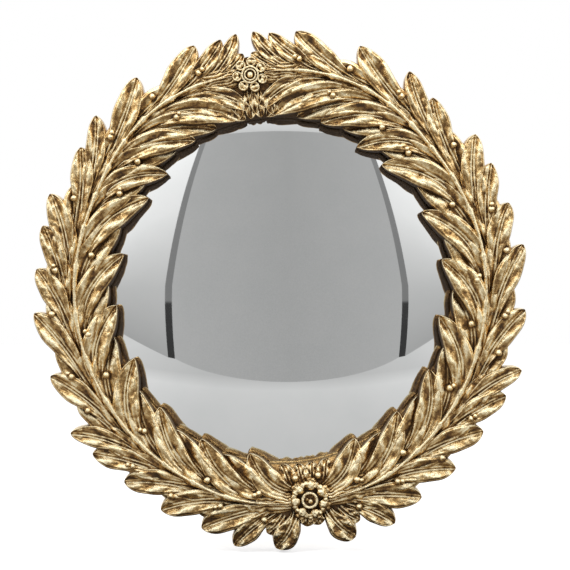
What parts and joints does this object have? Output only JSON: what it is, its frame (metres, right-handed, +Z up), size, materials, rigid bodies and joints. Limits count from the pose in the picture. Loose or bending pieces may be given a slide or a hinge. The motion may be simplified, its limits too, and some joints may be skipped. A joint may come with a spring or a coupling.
{
  "type": "convex butlers mirror",
  "caption": "Round convex wall mirror in a cast gold laurel-wreath frame: two leafy branches with berries rise from a low rosette to a top one, with a hanging ring behind.",
  "frame": {"origin": "point on the wall plane level with the inside top of the hanging ring, where a wall hook carries the mirror", "axes": "+X to the right as seen from the room, -Y out of the wall towards the viewer, +Z up"},
  "size_m": [0.2843, 0.0314, 0.2997],
  "materials": {
    "gilt_casting": "antique gold, rubbed, brown in the hollows",
    "silvered_glass": "silvered convex glass",
    "fibreboard": "raw brown fibreboard",
    "packing_foam": "grey foam strip",
    "zinc_steel": "zinc plated",
    "brassed_steel": "brass plated hanger",
    "felt": "dark felt"
  },
  "bodies": {
    "frame": {"wreath_frame": "gilt_casting", "convex_mirror": "silvered_glass", "foam_ring": "packing_foam", "backing_board": "fibreboard", "turn_button_screws": "zinc_steel", "hanger_strap": "brassed_steel", "hanger_screws": "brassed_steel", "wall_pads": "felt"},
    "ring": {"hanger_ring": "brassed_steel"},
    "button_1": {"turn_button_1": "zinc_steel"},
    "button_2": {"turn_button_2": "zinc_steel"},
    "button_3": {"turn_button_3": "zinc_steel"},
    "button_4": {"turn_button_4": "zinc_steel"}
  },
  "joints": [
    {"name": "ring_swing", "type": "hinge", "parent": "frame", "child": "ring", "pos_m": [0, -0.00312, -0.00798], "axis": [-1, 0, 0], "range_deg": [0, 170]},
    {"name": "button_turn_1", "type": "hinge", "parent": "frame", "child": "button_1", "pos_m": [0.08061, -0.0043, -0.04257], "axis": [0, 1, 0], "range_deg": [-90, 90]},
    {"name": "button_turn_2", "type": "hinge", "parent": "frame", "child": "button_2", "pos_m": [-0.08061, -0.0043, -0.04257], "axis": [0, 1, 0], "range_deg": [-90, 90]},
    {"name": "button_turn_3", "type": "hinge", "parent": "frame", "child": "button_3", "pos_m": [-0.08061, -0.0043, -0.20379], "axis": [0, 1, 0], "range_deg": [-90, 90]},
    {"name": "button_turn_4", "type": "hinge", "parent": "frame", "child": "button_4", "pos_m": [0.08061, -0.0043, -0.20379], "axis": [0, 1, 0], "range_deg": [-90, 90]}
  ]
}
